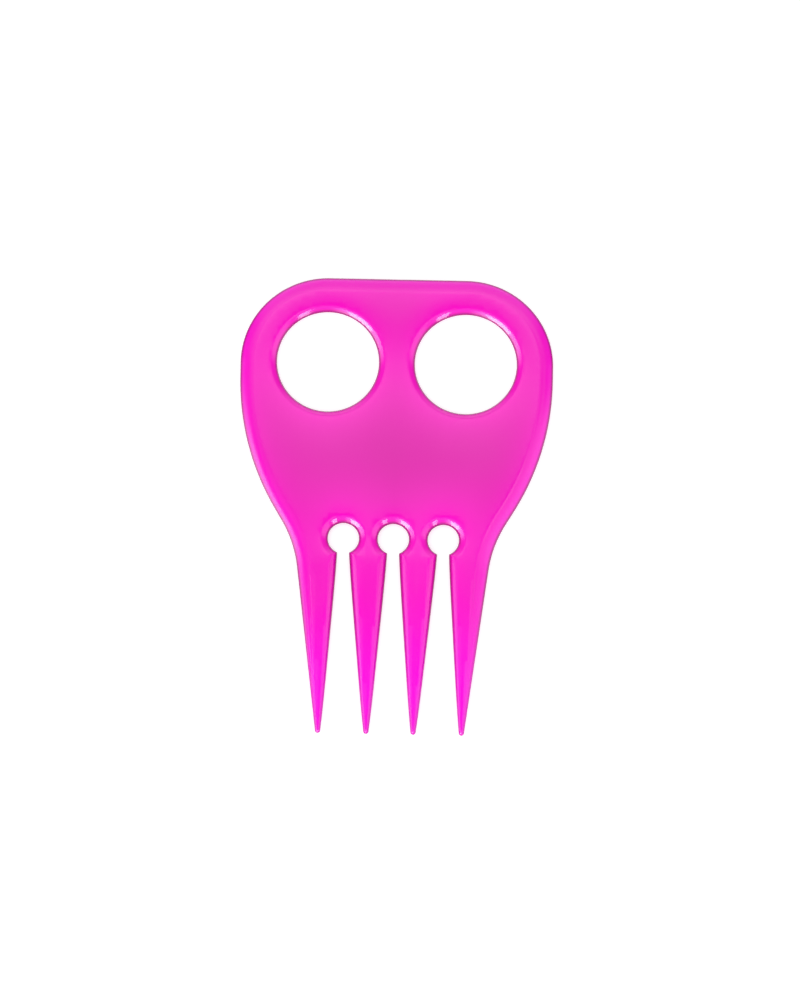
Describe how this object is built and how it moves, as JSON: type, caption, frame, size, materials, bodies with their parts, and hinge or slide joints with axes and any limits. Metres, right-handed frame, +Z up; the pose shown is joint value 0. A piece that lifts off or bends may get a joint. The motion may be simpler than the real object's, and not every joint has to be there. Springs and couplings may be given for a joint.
{
  "type": "braiding comb",
  "caption": "Flat glossy pink braiding comb: a rounded handle with finger holes, and long tapered tines parted by keyhole slots.",
  "frame": {"origin": "centre of the comb's outline, on the surface that it lies on", "axes": "+Y from the tips of the tines to the top of the handle, +X across the comb, +Z up through its thickness"},
  "size_m": [0.0762, 0.1138, 0.003],
  "materials": {
    "pink_plastic": "gloss"
  },
  "bodies": {
    "root": {"comb": "pink_plastic"}
  },
  "joints": []
}
